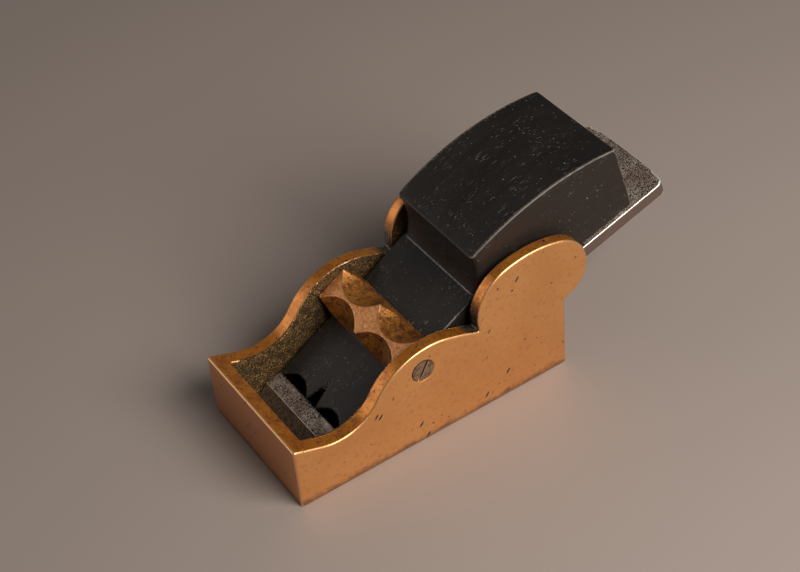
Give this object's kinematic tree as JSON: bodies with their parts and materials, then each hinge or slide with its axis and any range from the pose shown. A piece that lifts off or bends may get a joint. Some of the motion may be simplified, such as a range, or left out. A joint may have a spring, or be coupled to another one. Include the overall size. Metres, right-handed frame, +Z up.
{
  "type": "hand plane",
  "caption": "Small bevel-up chariot hand plane: gunmetal casting with ogee sides and round ears, scooped bridge on side screws, steel iron under an ebony wedge.",
  "frame": {"origin": "middle of the sole, which lies in the plane Z = 0", "axes": "+X from the toe to the heel, +Y to the right-hand side as seen from above with the toe pointing away, +Z up from the sole"},
  "size_m": [0.1029, 0.036, 0.0489],
  "materials": {
    "gunmetal": "cast and worn, satin, small dark pits",
    "bridge_bronze": "reddish, pitted and worn",
    "screw_steel": "aged, filed flush",
    "iron_steel": "grey-brown, fine pitting",
    "ebony": "near-black, worn satin"
  },
  "bodies": {
    "casting": {"body_casting": "gunmetal"},
    "bridge_unit": {"bridge": "bridge_bronze", "bridge_screw_left": "screw_steel", "bridge_screw_right": "screw_steel"},
    "iron": {"iron": "iron_steel"},
    "wedge": {"wedge": "ebony"}
  },
  "joints": [
    {"name": "iron_slide", "type": "slide", "parent": "casting", "child": "iron", "axis": [0.9555, 0, 0.2949], "range_m": [-0.0005, 0.066]},
    {"name": "wedge_slide", "type": "slide", "parent": "casting", "child": "wedge", "axis": [0.9555, 0, 0.2949], "range_m": [0, 0.03]},
    {"name": "bridge_pivot", "type": "hinge", "parent": "casting", "child": "bridge_unit", "pos_m": [-0.0024, 0, 0.0202], "axis": [0, 1, 0], "range_deg": [-1.5, 1.5]}
  ]
}
